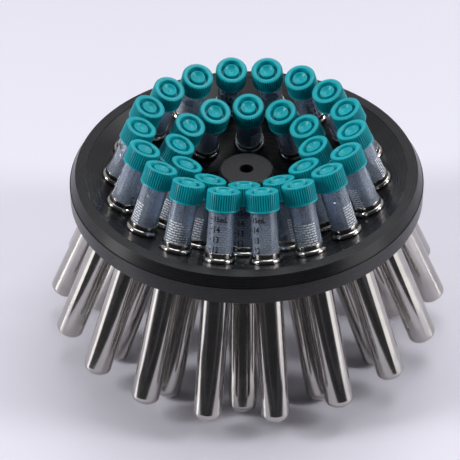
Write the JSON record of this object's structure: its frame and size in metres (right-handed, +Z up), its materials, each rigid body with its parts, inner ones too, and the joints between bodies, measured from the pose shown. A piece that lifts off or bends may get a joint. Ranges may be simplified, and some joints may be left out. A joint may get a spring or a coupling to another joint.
{
  "type": "fixed angle rotor",
  "caption": "Fixed angle centrifuge rotor: a dished plate on a central hub, with rings of leaning steel sleeves that hold screw-capped conical tubes.",
  "frame": {"origin": "on the bench under the centre of the drive shaft: z = 0 is the surface that the inner sleeves stand on", "axes": "+Z up the drive shaft, -Y towards the front, where an inner tube stands in the middle, +X to the right seen from the front"},
  "size_m": [0.2626, 0.259, 0.1555],
  "materials": {
    "plate_metal": "black anodised, satin",
    "sleeve_steel": "polished stainless steel",
    "cushion_rubber": "matt",
    "tube_plastic": "clear, glossy",
    "cap_plastic": "moulded, satin"
  },
  "bodies": {
    "rotor": {"rotor_plate": "plate_metal", "outer_sleeves": "sleeve_steel", "inner_sleeves": "sleeve_steel", "outer_cushions": "cushion_rubber", "inner_cushions": "cushion_rubber", "outer_tubes": "tube_plastic", "inner_tubes": "tube_plastic"},
    "outer_cap_01_body": {"outer_cap_01": "cap_plastic"},
    "outer_cap_02_body": {"outer_cap_02": "cap_plastic"},
    "outer_cap_03_body": {"outer_cap_03": "cap_plastic"},
    "outer_cap_04_body": {"outer_cap_04": "cap_plastic"},
    "outer_cap_05_body": {"outer_cap_05": "cap_plastic"},
    "outer_cap_06_body": {"outer_cap_06": "cap_plastic"},
    "outer_cap_07_body": {"outer_cap_07": "cap_plastic"},
    "outer_cap_08_body": {"outer_cap_08": "cap_plastic"},
    "outer_cap_09_body": {"outer_cap_09": "cap_plastic"},
    "outer_cap_10_body": {"outer_cap_10": "cap_plastic"},
    "outer_cap_11_body": {"outer_cap_11": "cap_plastic"},
    "outer_cap_12_body": {"outer_cap_12": "cap_plastic"},
    "outer_cap_13_body": {"outer_cap_13": "cap_plastic"},
    "outer_cap_14_body": {"outer_cap_14": "cap_plastic"},
    "outer_cap_15_body": {"outer_cap_15": "cap_plastic"},
    "outer_cap_16_body": {"outer_cap_16": "cap_plastic"},
    "outer_cap_17_body": {"outer_cap_17": "cap_plastic"},
    "outer_cap_18_body": {"outer_cap_18": "cap_plastic"},
    "inner_cap_01_body": {"inner_cap_01": "cap_plastic"},
    "inner_cap_02_body": {"inner_cap_02": "cap_plastic"},
    "inner_cap_03_body": {"inner_cap_03": "cap_plastic"},
    "inner_cap_04_body": {"inner_cap_04": "cap_plastic"},
    "inner_cap_05_body": {"inner_cap_05": "cap_plastic"},
    "inner_cap_06_body": {"inner_cap_06": "cap_plastic"},
    "inner_cap_07_body": {"inner_cap_07": "cap_plastic"},
    "inner_cap_08_body": {"inner_cap_08": "cap_plastic"},
    "inner_cap_09_body": {"inner_cap_09": "cap_plastic"},
    "inner_cap_10_body": {"inner_cap_10": "cap_plastic"},
    "inner_cap_11_body": {"inner_cap_11": "cap_plastic"},
    "inner_cap_12_body": {"inner_cap_12": "cap_plastic"}
  },
  "joints": [
    {"name": "outer_cap_01_unscrew", "type": "hinge", "parent": "rotor", "child": "outer_cap_01_body", "pos_m": [0.01155, -0.06552, 0.15182], "axis": [-0.0678, 0.3848, 0.9205], "range_deg": [0, 540]},
    {"name": "outer_cap_02_unscrew", "type": "hinge", "parent": "rotor", "child": "outer_cap_02_body", "pos_m": [0.03326, -0.05761, 0.15182], "axis": [-0.1954, 0.3384, 0.9205], "range_deg": [0, 540]},
    {"name": "outer_cap_03_unscrew", "type": "hinge", "parent": "rotor", "child": "outer_cap_03_body", "pos_m": [0.05096, -0.04276, 0.15182], "axis": [-0.2993, 0.2512, 0.9205], "range_deg": [0, 540]},
    {"name": "outer_cap_04_unscrew", "type": "hinge", "parent": "rotor", "child": "outer_cap_04_body", "pos_m": [0.06251, -0.02275, 0.15182], "axis": [-0.3672, 0.1336, 0.9205], "range_deg": [0, 540]},
    {"name": "outer_cap_05_unscrew", "type": "hinge", "parent": "rotor", "child": "outer_cap_05_body", "pos_m": [0.06653, 0, 0.15182], "axis": [-0.3907, 0, 0.9205], "range_deg": [0, 540]},
    {"name": "outer_cap_06_unscrew", "type": "hinge", "parent": "rotor", "child": "outer_cap_06_body", "pos_m": [0.06251, 0.02275, 0.15182], "axis": [-0.3672, -0.1336, 0.9205], "range_deg": [0, 540]},
    {"name": "outer_cap_07_unscrew", "type": "hinge", "parent": "rotor", "child": "outer_cap_07_body", "pos_m": [0.05096, 0.04276, 0.15182], "axis": [-0.2993, -0.2512, 0.9205], "range_deg": [0, 540]},
    {"name": "outer_cap_08_unscrew", "type": "hinge", "parent": "rotor", "child": "outer_cap_08_body", "pos_m": [0.03326, 0.05761, 0.15182], "axis": [-0.1954, -0.3384, 0.9205], "range_deg": [0, 540]},
    {"name": "outer_cap_09_unscrew", "type": "hinge", "parent": "rotor", "child": "outer_cap_09_body", "pos_m": [0.01155, 0.06552, 0.15182], "axis": [-0.0678, -0.3848, 0.9205], "range_deg": [0, 540]},
    {"name": "outer_cap_10_unscrew", "type": "hinge", "parent": "rotor", "child": "outer_cap_10_body", "pos_m": [-0.01155, 0.06552, 0.15182], "axis": [0.0678, -0.3848, 0.9205], "range_deg": [0, 540]},
    {"name": "outer_cap_11_unscrew", "type": "hinge", "parent": "rotor", "child": "outer_cap_11_body", "pos_m": [-0.03326, 0.05761, 0.15182], "axis": [0.1954, -0.3384, 0.9205], "range_deg": [0, 540]},
    {"name": "outer_cap_12_unscrew", "type": "hinge", "parent": "rotor", "child": "outer_cap_12_body", "pos_m": [-0.05096, 0.04276, 0.15182], "axis": [0.2993, -0.2512, 0.9205], "range_deg": [0, 540]},
    {"name": "outer_cap_13_unscrew", "type": "hinge", "parent": "rotor", "child": "outer_cap_13_body", "pos_m": [-0.06251, 0.02275, 0.15182], "axis": [0.3672, -0.1336, 0.9205], "range_deg": [0, 540]},
    {"name": "outer_cap_14_unscrew", "type": "hinge", "parent": "rotor", "child": "outer_cap_14_body", "pos_m": [-0.06653, 0, 0.15182], "axis": [0.3907, 0, 0.9205], "range_deg": [0, 540]},
    {"name": "outer_cap_15_unscrew", "type": "hinge", "parent": "rotor", "child": "outer_cap_15_body", "pos_m": [-0.06251, -0.02275, 0.15182], "axis": [0.3672, 0.1336, 0.9205], "range_deg": [0, 540]},
    {"name": "outer_cap_16_unscrew", "type": "hinge", "parent": "rotor", "child": "outer_cap_16_body", "pos_m": [-0.05096, -0.04276, 0.15182], "axis": [0.2993, 0.2512, 0.9205], "range_deg": [0, 540]},
    {"name": "outer_cap_17_unscrew", "type": "hinge", "parent": "rotor", "child": "outer_cap_17_body", "pos_m": [-0.03326, -0.05761, 0.15182], "axis": [0.1954, 0.3384, 0.9205], "range_deg": [0, 540]},
    {"name": "outer_cap_18_unscrew", "type": "hinge", "parent": "rotor", "child": "outer_cap_18_body", "pos_m": [-0.01155, -0.06552, 0.15182], "axis": [0.0678, 0.3848, 0.9205], "range_deg": [0, 540]},
    {"name": "inner_cap_01_unscrew", "type": "hinge", "parent": "rotor", "child": "inner_cap_01_body", "pos_m": [0, -0.04233, 0.13895], "axis": [0, 0.3907, 0.9205], "range_deg": [0, 540]},
    {"name": "inner_cap_02_unscrew", "type": "hinge", "parent": "rotor", "child": "inner_cap_02_body", "pos_m": [0.02116, -0.03666, 0.13895], "axis": [-0.1954, 0.3384, 0.9205], "range_deg": [0, 540]},
    {"name": "inner_cap_03_unscrew", "type": "hinge", "parent": "rotor", "child": "inner_cap_03_body", "pos_m": [0.03666, -0.02116, 0.13895], "axis": [-0.3384, 0.1954, 0.9205], "range_deg": [0, 540]},
    {"name": "inner_cap_04_unscrew", "type": "hinge", "parent": "rotor", "child": "inner_cap_04_body", "pos_m": [0.04233, 0, 0.13895], "axis": [-0.3907, 0, 0.9205], "range_deg": [0, 540]},
    {"name": "inner_cap_05_unscrew", "type": "hinge", "parent": "rotor", "child": "inner_cap_05_body", "pos_m": [0.03666, 0.02116, 0.13895], "axis": [-0.3384, -0.1954, 0.9205], "range_deg": [0, 540]},
    {"name": "inner_cap_06_unscrew", "type": "hinge", "parent": "rotor", "child": "inner_cap_06_body", "pos_m": [0.02116, 0.03666, 0.13895], "axis": [-0.1954, -0.3384, 0.9205], "range_deg": [0, 540]},
    {"name": "inner_cap_07_unscrew", "type": "hinge", "parent": "rotor", "child": "inner_cap_07_body", "pos_m": [0, 0.04233, 0.13895], "axis": [0, -0.3907, 0.9205], "range_deg": [0, 540]},
    {"name": "inner_cap_08_unscrew", "type": "hinge", "parent": "rotor", "child": "inner_cap_08_body", "pos_m": [-0.02116, 0.03666, 0.13895], "axis": [0.1954, -0.3384, 0.9205], "range_deg": [0, 540]},
    {"name": "inner_cap_09_unscrew", "type": "hinge", "parent": "rotor", "child": "inner_cap_09_body", "pos_m": [-0.03666, 0.02116, 0.13895], "axis": [0.3384, -0.1954, 0.9205], "range_deg": [0, 540]},
    {"name": "inner_cap_10_unscrew", "type": "hinge", "parent": "rotor", "child": "inner_cap_10_body", "pos_m": [-0.04233, 0, 0.13895], "axis": [0.3907, 0, 0.9205], "range_deg": [0, 540]},
    {"name": "inner_cap_11_unscrew", "type": "hinge", "parent": "rotor", "child": "inner_cap_11_body", "pos_m": [-0.03666, -0.02116, 0.13895], "axis": [0.3384, 0.1954, 0.9205], "range_deg": [0, 540]},
    {"name": "inner_cap_12_unscrew", "type": "hinge", "parent": "rotor", "child": "inner_cap_12_body", "pos_m": [-0.02116, -0.03666, 0.13895], "axis": [0.1954, 0.3384, 0.9205], "range_deg": [0, 540]}
  ]
}
